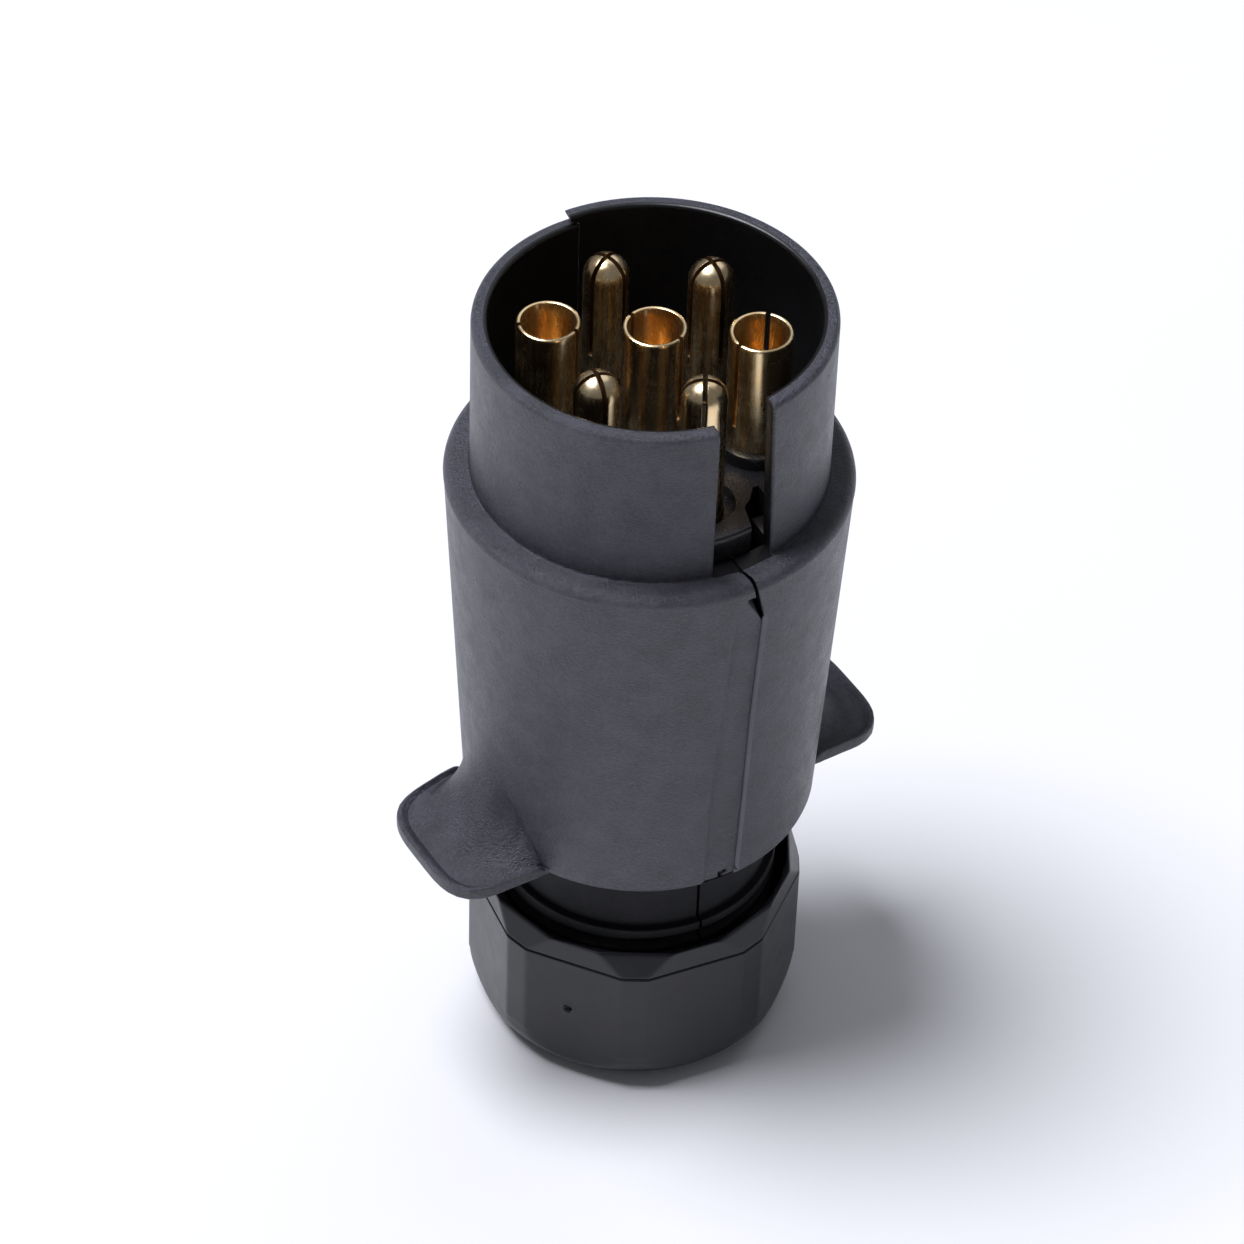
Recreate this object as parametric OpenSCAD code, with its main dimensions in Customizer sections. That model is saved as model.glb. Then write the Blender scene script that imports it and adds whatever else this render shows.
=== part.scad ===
// Seven-pole trailer plug, clamshell housing with a cable gland nut.
// Millimetres. +Z points along the plug's axis to the mating face, the
// origin is the centre of the gland nut's flat end, which the plug stands on,
// the two half shells part on the plane x = 0 and the keyway faces -Y.

/* [Mating sleeve] */
// Outer radius of the sleeve that enters the vehicle socket
sleeve_r = 20.75; // [20.5:0.05:21]
// Wall of the sleeve
sleeve_wall = 1.9; // [1.6:0.1:2.1]
// Height of the right half shell's rim
rim_z = 108; // [107.6:0.1:109]
// Step by which the left half shell's rim stands lower
rim_step = 1.4; // [0:0.1:2]
// Left edge of the keyway slot
key_left = -2.55; // [-3:0.05:-2]
// Right edge of the keyway slot at the rim
key_right_top = 4.1; // [3.5:0.05:4.4]
// Right edge of the keyway slot at the ledge
key_right_bot = 5.0; // [4.5:0.05:5]

/* [Housing body] */
// Height of the ledge that stops against the socket
ledge_z = 85.4; // [85:0.1:86]
// Radius of the body at the ledge
ledge_r = 23.8; // [23.4:0.1:24.2]
// Height of the body's lower end
body_z = 35.7; // [35.3:0.1:36.5]
// Radius of the body at its lower end
body_r = 21.2; // [21:0.1:21.6]
// Wall of the body
body_wall = 2.2; // [2:0.1:2.4]
// Depth of the shallow band beside the front seam
band_depth = 0.35; // [0.2:0.05:0.5]

/* [Finger ears] */
// Reach of each ear from the axis
ear_x = 30.7; // [29:0.1:31.5]
// Radius of the finger scoop above each ear
scoop_r = 11; // [10:0.1:11.4]
// Thickness of an ear at its edge
ear_t = 1.4; // [1.2:0.1:2]
// Angle by which the two ears are turned from the plane square to the keyway
ear_turn = 3; // [0:1:5]

/* [Neck] */
// Radius of the plain neck below the body
neck_r = 16.3; // [16:0.1:16.5]
// Crest radius of the neck's thread
thread_r = 17.3; // [17.1:0.05:17.3]
// Radius of the bore that holds the cable seal
seal_bore_r = 13.9; // [13.5:0.1:14.2]
// Radius of the cable passage through the neck
cable_r = 11.5; // [10:0.1:12]
// Height of the neck's lower end with the nut home
neck_end_z = 5.6; // [5.5:0.1:6]

/* [Gland nut] */
// Height of the nut
nut_h = 23.2; // [22.8:0.1:24]
// Distance from the axis to each of the eight flats
nut_flat_r = 19.45; // [19.3:0.05:19.6]
// Radius at which the nut's upright corners are blunted
nut_corner_r = 20.4; // [20.2:0.1:20.6]
// Height at which the leaning top facets start
nut_facet_z = 20; // [19:0.1:20.3]
// Bore radius of the nut over the neck's thread
nut_bore_r = 17.6; // [17.6:0.05:17.8]
// Radius of the nut's open mouth
nut_mouth_r = 18.7; // [18:0.1:18.8]
// Radius of the rounding at the nut's lower end
nut_round = 6; // [3:0.5:6]
// Radius of the cable hole in the nut's end
nut_hole_r = 8.6; // [8:0.1:9]
// Angle of one corner of the nut
nut_phase = 18; // [0:1:44]

/* [Contacts] */
// Pitch radius of the six outer contacts
pitch_r = 12; // [11.9:0.05:12]
// Radius of each contact pin
pin_r = 2.55; // [2.5:0.05:2.6]
// Height of the tip of each contact pin
pin_z = 106.9; // [106:0.1:107]
// Outer radius of each socket tube
tube_r = 3.7; // [3.5:0.05:3.7]
// Bore radius of each socket tube
tube_bore_r = 3.15; // [3:0.05:3.2]
// Height of the mouth of each socket tube
tube_z = 105.6; // [105:0.1:106]
// Radius of each terminal barrel
barrel_r = 3.6; // [3.4:0.1:3.6]
// Radius of the wire hole in each terminal barrel
wire_r = 2.2; // [2:0.1:2.2]
// Radius of each terminal screw
screw_r = 1.5; // [1.4:0.05:1.5]

/* [Contact carrier] */
// Height of the carrier's front face
carrier_z = 88.8; // [88.5:0.1:89]
// Radius of the carrier
carrier_r = 18.6; // [18.4:0.05:18.65]
// Height of the raised boss round each socket tube
boss_h = 1.7; // [1.5:0.1:2]

/* [Hidden] */
$fn = 96;

black = [0.16, 0.165, 0.19];
inner = [0.10, 0.10, 0.11];
brass = [0.83, 0.66, 0.36];
steel = [0.72, 0.73, 0.75];
rubber = [0.07, 0.07, 0.07];

sleeve_in = sleeve_r - sleeve_wall;
body_slope = (ledge_r - body_r) / (ledge_z - body_z);
function body_at(z) = body_r + body_slope * (z - body_z);
seam = 0.06;                 // half the gap between the half shells
shoulder_z = 82;             // underside of the ring that holds the carrier down
flange_z0 = 78.2;            // carrier flange
flange_z1 = 81.8;
rib_z0 = 75.6;               // ring rib under the carrier flange
rib_z1 = 77.9;
floor_z = 38.6;              // inside floor of the housing
step_z = 25.6;               // where the neck's thread starts
barrel_z0 = 57;              // rear end of the terminal barrels
barrel_z1 = 73;              // shoulder that seats in the carrier
screw_z = 61.5;              // height of the terminal screws
front_a = [-90, -150, 90, 30];        // angles of the four pins
tube_a = [-30, 150];                  // angles of the two outer tubes
slot_w = 0.5;                // width of the contacts' spring slots

// Points on an arc, from angle a0 to a1, n steps
function arc(cx, cz, r, a0, a1, n) =
    [for (i = [0:n]) [cx + r * cos(a0 + (a1 - a0) * i / n), cz + r * sin(a0 + (a1 - a0) * i / n)]];

// Housing wall as one closed outline, from the rim down the outside and back
function housing_outline(rz) = concat(
    [[sleeve_in, rz]], arc(sleeve_r - 0.7, rz - 0.7, 0.7, 90, 0, 5),
    [[sleeve_r, ledge_z]],
    arc(ledge_r - 1.3, ledge_z - 1.3, 1.3, 90, 3, 6),
    arc(body_at(body_z + 1) - 1, body_z + 1, 1, 0, -90, 5),
    [[neck_r, body_z], [neck_r, step_z], [thread_r, step_z - 0.6],
     [thread_r, neck_end_z + 1], [thread_r - 1, neck_end_z], [seal_bore_r, neck_end_z],
     [seal_bore_r, 16], [cable_r, 16], [cable_r, floor_z],
     [body_at(floor_z) - body_wall, floor_z],
     [body_at(rib_z0) - body_wall, rib_z0], [19, rib_z0], [19, rib_z1],
     [20.7, rib_z1], [20.7, shoulder_z], [sleeve_in, shoulder_z]]);

module housing(rz) { rotate_extrude() polygon(housing_outline(rz)); }

// Plan of one finger ear, on the +X side
module ear_plan() {
    polygon([[16, -11.2], [18.2, -11.0], [26.6, -9.5], [28.8, -8.5], [30.2, -6.8], [ear_x, -4.6],
             [ear_x, 4.6], [30.2, 6.8], [28.8, 8.5], [26.6, 9.5], [18.2, 11.0], [16, 11.2]]);
}

// One ear, with the part of the body that it grows from left to the housing
module ear() {
    difference() {
        translate([0, 0, body_z]) linear_extrude(ear_t + scoop_r) ear_plan();
        translate([0, 0, body_z - 1]) cylinder(r1 = body_r - 1.2, r2 = body_at(body_z + 15) - 1.2, h = 16);
    }
}

// The finger scoop, a round groove that follows the body over the ear
module scoop() {
    intersection() {
        rotate_extrude() translate([ear_x + 1.3, body_z + ear_t + scoop_r]) circle(r = scoop_r);
        translate([15, -10.4, body_z]) cube([20, 20.8, 30]);
    }
}

// The part of the front wall where the left half laps over the seam plane
module lap(g) {
    translate([0, -19.6, 0]) rotate([90, 0, 0]) linear_extrude(6)
        polygon([[-1, body_z - 1], [3.45 + g, body_z - 1], [2.4 + g, 79.5], [1.2 + g, 83.6], [1.2 + g, 87], [-1, 87]]);
}

// Shallow band beside the seam, on the left half's side
module band() {
    intersection() {
        difference() {
            translate([0, 0, body_z - 1]) cylinder(r1 = body_at(body_z - 1) + 2, r2 = body_at(79) + 2, h = 80 - body_z);
            translate([0, 0, body_z - 2]) cylinder(r1 = body_at(body_z - 2) - band_depth, r2 = body_at(80) - band_depth, h = 82 - body_z);
        }
        translate([-1.15, -30, body_z - 1]) cube([4.7, 12, 79 - body_z]);
    }
}

// The keyway slot through the sleeve
module keyway() {
    translate([0, -14, 0]) rotate([90, 0, 0]) linear_extrude(10)
        polygon([[key_left, ledge_z], [key_right_bot, ledge_z], [key_right_top, rim_z + 2], [key_left, rim_z + 2]]);
}

module left_half_shell() color(black) {
    difference() {
        union() {
            intersection() {
                housing(rim_z - rim_step);
                union() {
                    translate([-40 - seam, -40, 0]) cube([40, 80, 120]);
                    intersection() { lap(0); translate([-0.5, -40, 0]) cube([10, 40, ledge_z]); }
                }
            }
            rotate([0, 0, ear_turn]) mirror([1, 0, 0]) ear();
        }
        rotate([0, 0, ear_turn]) mirror([1, 0, 0]) scoop();
        keyway();
        band();
        // pry notch at the top of the front seam
        translate([0.6, -23.9, 82]) rotate([90, 0, 0]) cylinder(r = 1.1, h = 1.6, center = true);
    }
}

module right_half_shell() color(black) {
    difference() {
        union() {
            difference() {
                union() {
                    intersection() {
                        housing(rim_z);
                        translate([seam, -40, 0]) cube([40, 80, 120]);
                    }
                }
                lap(0.12);
            }
            // locating rib beside the keyway, which enters the carrier's notch
            translate([5.05, -18.3, shoulder_z + 0.2]) cube([1.6, 3.3, 4.6]);
            translate([5.05, -18.95, shoulder_z + 0.2]) cube([1.6, 1.6, 4.6]);
            rotate([0, 0, ear_turn]) ear();
        }
        rotate([0, 0, ear_turn]) scoop();
        keyway();
    }
}

// Moulded insert that holds the seven contacts
module contact_carrier() color(inner) difference() {
    union() {
        rotate_extrude() polygon(concat(
            [[0, 71.5], [carrier_r - 1.5, 71.5], [carrier_r - 1.5, flange_z0], [20.3, flange_z0], [20.3, flange_z1],
             [carrier_r, flange_z1], [carrier_r, carrier_z - 0.4], [carrier_r - 0.4, carrier_z], [0, carrier_z]]));
        translate([0, 0, carrier_z - 1]) cylinder(r = tube_r + 0.95, h = boss_h + 1);
        for (a = tube_a) rotate([0, 0, a]) translate([pitch_r, 0, carrier_z - 1]) cylinder(r = tube_r + 0.95, h = boss_h + 1);
    }
    // pin holes, with a ring recess round each pin
    for (a = front_a) rotate([0, 0, a]) translate([pitch_r, 0, 0]) {
        translate([0, 0, 70]) cylinder(r = pin_r + 0.03, h = 25);
        translate([0, 0, carrier_z - 1.4]) cylinder(r = 4.1, h = 3);
    }
    // tube holes
    translate([0, 0, 70]) cylinder(r = tube_r + 0.03, h = 25);
    for (a = tube_a) rotate([0, 0, a]) translate([pitch_r, 0, 70]) cylinder(r = tube_r + 0.03, h = 25);
    // rear seats of the terminal barrels
    translate([0, 0, 70]) cylinder(r = barrel_r + 0.03, h = barrel_z1 - 70);
    for (a = concat(front_a, tube_a)) rotate([0, 0, a]) translate([pitch_r, 0, 70]) cylinder(r = barrel_r + 0.03, h = barrel_z1 - 70);
    // notch for the housing's rib
    translate([3.7, -22, flange_z1 - 2]) cube([3.4, 8.2, 12]);
}

// Rear terminal barrel, with its wire hole and its screw hole towards +X
module barrel() {
    difference() {
        translate([0, 0, barrel_z0]) cylinder(r = barrel_r, h = barrel_z1 - barrel_z0);
        barrel_holes();
    }
}
module barrel_holes() {
    translate([0, 0, barrel_z0 - 1]) cylinder(r = wire_r, h = 11);
    translate([0, 0, screw_z]) rotate([0, 90, 0]) cylinder(r = screw_r + 0.05, h = 6);
}

// Solid pin with a domed, cross-slotted tip; s is the angle of its slots
module pin_contact(s) {
    difference() {
        union() {
            rotate([0, 0, s + 45]) translate([0, 0, barrel_z1 - 1]) cylinder(r = pin_r, h = pin_z - pin_r - barrel_z1 + 1);
            rotate([0, 0, s + 45]) translate([0, 0, pin_z - pin_r]) sphere(r = pin_r);
            translate([0, 0, carrier_z - 1.4]) cylinder(r = 2.8, h = 1.9);
            translate([0, 0, barrel_z0]) cylinder(r = barrel_r, h = barrel_z1 - barrel_z0);
        }
        barrel_holes();
        for (k = [0, 90]) rotate([0, 0, s + k]) translate([-5, -slot_w / 2, pin_z - 13]) cube([10, slot_w, 15]);
    }
}

// Slit socket tube; s lists the angles of its two slots
module socket_contact(s) {
    difference() {
        union() {
            translate([0, 0, barrel_z1 - 1]) cylinder(r = tube_r, h = tube_z - barrel_z1 + 1);
            translate([0, 0, barrel_z0]) cylinder(r = barrel_r, h = barrel_z1 - barrel_z0);
        }
        barrel_holes();
        translate([0, 0, tube_z - 15]) cylinder(r = tube_bore_r, h = 20);
        for (k = s) rotate([0, 0, k]) translate([1, -slot_w / 2, tube_z - 12]) cube([5, slot_w, 15]);
    }
}

// Slotted grub screw that clamps a wire, pointing along +X
module terminal_screw() color(steel) {
    translate([0, 0, screw_z]) difference() {
        rotate([0, 90, 0]) translate([0, 0, 1]) cylinder(r = screw_r, h = 3.3);
        translate([3.7, -0.25, -3]) cube([2, 0.5, 6]);
    }
}

module at_pitch(a) { rotate([0, 0, a]) translate([pitch_r, 0, 0]) children(); }

module pin_contact_front() color(brass) at_pitch(-90) pin_contact(62);
module pin_contact_front_left() color(brass) at_pitch(-150) pin_contact(57);
module pin_contact_back() color(brass) at_pitch(90) pin_contact(25);
module pin_contact_back_right() color(brass) at_pitch(30) pin_contact(64);
module socket_contact_centre() color(brass) rotate([0, 0, -60]) socket_contact([-3, 176]);
module socket_contact_right() color(brass) at_pitch(-30) socket_contact([79, -134]);
module socket_contact_left() color(brass) at_pitch(150) socket_contact([14, 155]);

module terminal_screw_1() at_pitch(-90) terminal_screw();
module terminal_screw_2() at_pitch(-150) terminal_screw();
module terminal_screw_3() at_pitch(150) terminal_screw();
module terminal_screw_4() at_pitch(90) terminal_screw();
module terminal_screw_5() at_pitch(30) terminal_screw();
module terminal_screw_6() at_pitch(-30) terminal_screw();
module terminal_screw_7() rotate([0, 0, -60]) terminal_screw();

// Rubber ring that the nut squeezes on the cable
module cable_seal() color(rubber) rotate_extrude()
    polygon([[6.4, 5.9], [7.4, 5.2], [12.6, 5.2], [13.7, 6.6], [13.7, 15.8], [7.2, 15.8], [6.2, 14.8], [6.2, 6.4]]);

// Loose washer between the nut's floor and the seal
module thrust_ring() color(steel) translate([0, 0, 3.3]) difference() {
    cylinder(r = 16.9, h = 1.6);
    translate([0, 0, -1]) cylinder(r = 8.8, h = 4);
}

module gland_nut() color(black) difference() {
    intersection() {
        rotate([0, 0, nut_phase]) cylinder(r = nut_flat_r / cos(22.5), h = nut_h, $fn = 8);
        rotate_extrude() polygon(concat([[0, 0]], arc(nut_corner_r - nut_round, nut_round, nut_round, -90, 0, 8),
            [[nut_corner_r, nut_h], [0, nut_h]]));
    }
    // leaning facets over the flats, then over the corners
    for (k = [0:7]) rotate([0, 0, nut_phase + 22.5 + 45 * k]) translate([nut_flat_r - 0.05, -12, nut_facet_z])
        rotate([0, -2, 0]) cube([6, 24, 10]);
    for (k = [0:7]) rotate([0, 0, nut_phase + 45 * k]) translate([nut_corner_r, -12, nut_facet_z])
        rotate([0, -24, 0]) cube([6, 24, 10]);
    translate([0, 0, -1]) cylinder(r = nut_hole_r, h = 10);
    translate([0, 0, 3.2]) cylinder(r = nut_bore_r, h = 30);
    translate([0, 0, 20.6]) cylinder(r = nut_mouth_r, h = 30);
}

left_half_shell();
right_half_shell();
contact_carrier();
pin_contact_front();
pin_contact_front_left();
pin_contact_back();
pin_contact_back_right();
socket_contact_centre();
socket_contact_right();
socket_contact_left();
terminal_screw_1();
terminal_screw_2();
terminal_screw_3();
terminal_screw_4();
terminal_screw_5();
terminal_screw_6();
terminal_screw_7();
cable_seal();
thrust_ring();
gland_nut();
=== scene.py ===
import bpy
import math
import numpy as np
from mathutils import Matrix, Vector


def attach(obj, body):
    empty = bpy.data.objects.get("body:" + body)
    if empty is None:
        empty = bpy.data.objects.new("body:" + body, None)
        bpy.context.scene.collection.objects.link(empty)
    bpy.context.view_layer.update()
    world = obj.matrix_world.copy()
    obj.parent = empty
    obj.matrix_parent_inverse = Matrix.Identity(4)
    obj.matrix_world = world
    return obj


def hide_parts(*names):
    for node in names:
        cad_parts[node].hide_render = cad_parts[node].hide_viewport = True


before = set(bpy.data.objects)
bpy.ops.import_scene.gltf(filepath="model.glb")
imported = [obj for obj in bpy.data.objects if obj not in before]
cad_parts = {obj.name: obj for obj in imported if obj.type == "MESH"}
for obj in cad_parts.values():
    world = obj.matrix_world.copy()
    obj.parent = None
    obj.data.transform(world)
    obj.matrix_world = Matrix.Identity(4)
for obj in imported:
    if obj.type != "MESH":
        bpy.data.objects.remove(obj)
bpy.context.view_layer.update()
MM = 0.001
scene = bpy.context.scene
scene.view_settings.view_transform = "Standard"
scene.view_settings.look = "None"

# ---------------------------------------------------------------- camera
cam_data = bpy.data.cameras.new("camera")
cam_data.lens = 148.53
cam_data.sensor_width = 36
cam_data.clip_start = 0.05
cam_data.clip_end = 20
cam = bpy.data.objects.new("camera", cam_data)
scene.collection.objects.link(cam)
rv = np.array([-0.79893, 0.2177, 0.43644])
a = np.linalg.norm(rv); k = rv / a
K = np.array([[0, -k[2], k[1]], [k[2], 0, -k[0]], [-k[1], k[0], 0]])
R = np.eye(3) + math.sin(a) * K + (1 - math.cos(a)) * K @ K
m = Matrix(R.T.tolist()).to_4x4()
m.translation = Vector((-0.21435, -0.38933, 0.47388))
cam.matrix_world = m
scene.camera = cam


# ---------------------------------------------------------------- helpers
def smooth(x, a, b):
    t = np.clip((np.asarray(x, float) - a) / (b - a), 0, 1)
    return t * t * (3 - 2 * t)


def quads_mesh(name, verts, quads, tris=None):
    """A mesh from vertices in millimetres and arrays of quads and triangles."""
    me = bpy.data.meshes.new(name)
    verts = np.asarray(verts, float) * MM
    quads = np.asarray(quads, np.int32).reshape(-1, 4)
    tris = np.asarray(tris if tris is not None else [], np.int32).reshape(-1, 3)
    me.vertices.add(len(verts))
    me.vertices.foreach_set("co", verts.astype(np.float32).ravel())
    n = quads.size + tris.size
    me.loops.add(n)
    me.loops.foreach_set("vertex_index", np.concatenate([quads.ravel(), tris.ravel()]).astype(np.int32))
    me.polygons.add(len(quads) + len(tris))
    start = np.concatenate([np.arange(len(quads)) * 4, quads.size + np.arange(len(tris)) * 3])
    me.polygons.foreach_set("loop_start", start.astype(np.int32))
    me.update(calc_edges=True)
    me.validate()
    return me


def add(name, me, mat, body, nodes=(), sharp=35):
    me.name = name
    me.materials.clear()
    me.materials.append(mat)
    me.polygons.foreach_set("use_smooth", np.ones(len(me.polygons), bool))
    me.set_sharp_from_angle(angle=math.radians(sharp))
    o = bpy.data.objects.new(name, me)
    scene.collection.objects.link(o)
    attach(o, body)
    if nodes:
        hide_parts(*nodes)
    return o


def solid_grid(outer, inner):
    """Closed shell from two K x J grids of points: outer and inner skins, both ends, foot and rim."""
    K, J = outer.shape[:2]
    v = np.concatenate([outer.reshape(-1, 3), inner.reshape(-1, 3)])
    idx = np.arange(K * J).reshape(K, J)
    o, i = idx, idx + K * J
    q = []

    def strip(a, b, c, d):
        q.append(np.stack([a.ravel(), b.ravel(), c.ravel(), d.ravel()], 1))

    strip(o[:-1, :-1], o[:-1, 1:], o[1:, 1:], o[1:, :-1])
    strip(i[:-1, :-1], i[1:, :-1], i[1:, 1:], i[:-1, 1:])
    strip(o[:-1, 0], o[1:, 0], i[1:, 0], i[:-1, 0])
    strip(o[:-1, -1], i[:-1, -1], i[1:, -1], o[1:, -1])
    strip(o[0, :-1], i[0, :-1], i[0, 1:], o[0, 1:])
    strip(o[-1, :-1], o[-1, 1:], i[-1, 1:], i[-1, :-1])
    return v, np.concatenate(q)


def lathe(profile, n=96, phase=0.0, close=True):
    """Revolves an (r, z) outline round Z. A closed outline gives a ring; points at r = 0 become poles."""
    prof = np.asarray(profile, float)
    t = np.radians(phase) + np.arange(n) * 2 * math.pi / n
    verts, rows = [], []
    for r, z in prof:
        if r < 1e-9:
            rows.append(np.full(n, len(verts)))
            verts.append((0, 0, z))
        else:
            rows.append(np.arange(n) + len(verts))
            verts += [(r * math.cos(x), r * math.sin(x), z) for x in t]
    q, tr = [], []
    seq = list(range(len(rows))) + ([0] if close else [])
    for a_, b_ in zip(seq[:-1], seq[1:]):
        A, B = rows[a_], rows[b_]
        pa, pb = A[0] == A[-1], B[0] == B[-1]
        for s in range(n):
            e = (s + 1) % n
            if pa and pb:
                continue
            if pa:
                tr.append((A[s], B[e], B[s]))
            elif pb:
                tr.append((A[s], A[e], B[s]))
            else:
                q.append((A[s], A[e], B[e], B[s]))
    return np.array(verts), np.array(q), np.array(tr).reshape(-1, 3)


def arc(cx, cz, r, a0, a1, n):
    t = np.radians(np.linspace(a0, a1, n))
    return [(cx + r * math.cos(x), cz + r * math.sin(x)) for x in t]


def box_mesh(name, lo, hi, rot=0.0, at=(0, 0, 0)):
    x0, y0, z0 = lo; x1, y1, z1 = hi
    v = np.array([(x0, y0, z0), (x1, y0, z0), (x1, y1, z0), (x0, y1, z0),
                  (x0, y0, z1), (x1, y0, z1), (x1, y1, z1), (x0, y1, z1)], float)
    c, s = math.cos(math.radians(rot)), math.sin(math.radians(rot))
    v = np.stack([v[:, 0] * c - v[:, 1] * s, v[:, 0] * s + v[:, 1] * c, v[:, 2]], 1) + np.array(at)
    return quads_mesh(name, v, [(0, 3, 2, 1), (4, 5, 6, 7), (0, 1, 5, 4), (1, 2, 6, 5), (2, 3, 7, 6), (3, 0, 4, 7)])


def prism(outline, z0, z1):
    """Upright prism over an outline given clockwise or anticlockwise."""
    n = len(outline)
    v = [(x, y, z0) for x, y in outline] + [(x, y, z1) for x, y in outline]
    me = bpy.data.meshes.new("prism")
    me.from_pydata([tuple(c * MM for c in p) for p in v], [],
                   [tuple(range(n))[::-1], tuple(range(n, 2 * n))] + [(i, (i + 1) % n, (i + 1) % n + n, i + n) for i in range(n)])
    return outward(me)


def outward(me):
    """Turns the faces outward if the mesh's volume is negative."""
    import bmesh
    bm = bmesh.new()
    bm.from_mesh(me)
    bmesh.ops.recalc_face_normals(bm, faces=bm.faces)
    if bm.calc_volume(signed=True) < 0:
        bmesh.ops.reverse_faces(bm, faces=bm.faces)
    bm.to_mesh(me)
    bm.free()
    return me


def combine(base, cutters, op="DIFFERENCE"):
    """Exact boolean of a base mesh with each cutter mesh; returns a new mesh."""
    o = bpy.data.objects.new("tmp_base", base)
    scene.collection.objects.link(o)
    extra = []
    for c in cutters:
        oc = bpy.data.objects.new("tmp_cut", c)
        scene.collection.objects.link(oc)
        extra.append(oc)
        md = o.modifiers.new("b", "BOOLEAN")
        md.operation, md.object, md.solver = op, oc, "EXACT"
    dg = bpy.context.evaluated_depsgraph_get()
    me = bpy.data.meshes.new_from_object(o.evaluated_get(dg))
    for x in extra + [o]:
        bpy.data.objects.remove(x)
    return me


def bevelled(me, width, segments=2, angle=35):
    o = bpy.data.objects.new("tmp_bevel", me)
    scene.collection.objects.link(o)
    md = o.modifiers.new("b", "BEVEL")
    md.width, md.segments, md.limit_method, md.angle_limit = width * MM, segments, "ANGLE", math.radians(angle)
    md.use_clamp_overlap = True
    dg = bpy.context.evaluated_depsgraph_get()
    out = bpy.data.meshes.new_from_object(o.evaluated_get(dg))
    bpy.data.objects.remove(o)
    return out


# ---------------------------------------------------------------- materials
class Nodes:
    def __init__(self, name):
        self.m = bpy.data.materials.new(name)
        self.m.use_nodes = True
        self.t = self.m.node_tree
        self.b = self.t.nodes["Principled BSDF"]
        self.co = self.t.nodes.new("ShaderNodeTexCoord").outputs["Object"]

    def noise(self, scale, detail=2.0, rough=0.5, vec=None):
        n = self.t.nodes.new("ShaderNodeTexNoise")
        n.inputs["Scale"].default_value = scale
        n.inputs["Detail"].default_value = detail
        n.inputs["Roughness"].default_value = rough
        self.t.links.new(vec or self.co, n.inputs["Vector"])
        return n.outputs["Fac"]

    def squeeze(self, sx, sy, sz):
        n = self.t.nodes.new("ShaderNodeMapping")
        n.inputs["Scale"].default_value = (sx, sy, sz)
        self.t.links.new(self.co, n.inputs["Vector"])
        return n.outputs["Vector"]

    def ramp(self, fac, stops):
        n = self.t.nodes.new("ShaderNodeValToRGB")
        e = n.color_ramp.elements
        while len(e) < len(stops):
            e.new(0.5)
        for el, (p, c) in zip(e, stops):
            el.position = p
            el.color = (*c, 1) if len(c) == 3 else c
        self.t.links.new(fac, n.inputs["Fac"])
        return n.outputs["Color"]

    def span(self, fac, lo, hi, a=0.3, b=0.7):
        n = self.t.nodes.new("ShaderNodeMapRange")
        for s, v in (("From Min", a), ("From Max", b), ("To Min", lo), ("To Max", hi)):
            n.inputs[s].default_value = v
        self.t.links.new(fac, n.inputs["Value"])
        return n.outputs["Result"]

    def math(self, op, a, b):
        n = self.t.nodes.new("ShaderNodeMath")
        n.operation = op
        for i, x in enumerate((a, b)):
            if isinstance(x, (int, float)):
                n.inputs[i].default_value = x
            else:
                self.t.links.new(x, n.inputs[i])
        return n.outputs[0]

    def bump(self, height, strength, dist, normal=None):
        n = self.t.nodes.new("ShaderNodeBump")
        n.inputs["Strength"].default_value = strength
        n.inputs["Distance"].default_value = dist
        self.t.links.new(height, n.inputs["Height"])
        if normal:
            self.t.links.new(normal, n.inputs["Normal"])
        return n.outputs["Normal"]

    def to(self, out, socket):
        self.t.links.new(out, self.b.inputs[socket])

    def put(self, **kw):
        for k_, v_ in kw.items():
            self.b.inputs[k_.replace("_", " ")].default_value = v_
        return self


def plastic(name, lo, hi, rough, grain, depth, spec=0.5):
    """Black moulded plastic: spark-eroded grain, faint mottling, uneven gloss."""
    n = Nodes(name)
    mott = n.noise(260, 3.0, 0.55)
    fine = n.noise(grain, 3.0, 0.7)
    speck = n.math("ADD", n.math("MULTIPLY", mott, 0.45), n.math("MULTIPLY", n.noise(grain * 0.62, 2.0, 0.6), 0.55))
    n.to(n.ramp(speck, [(0.36, lo), (0.64, hi)]), "Base Color")
    broad = n.noise(grain * 0.35, 2.0, 0.5)
    n.to(n.span(n.math("ADD", fine, n.noise(420, 3.0, 0.6)), rough[0], rough[1], 0.7, 1.3), "Roughness")
    nb = n.bump(broad, 0.5, depth * 0.5)
    n.to(n.bump(fine, 0.8, depth, nb), "Normal")
    n.put(IOR=1.5, Specular_IOR_Level=spec)
    return n.m


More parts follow.
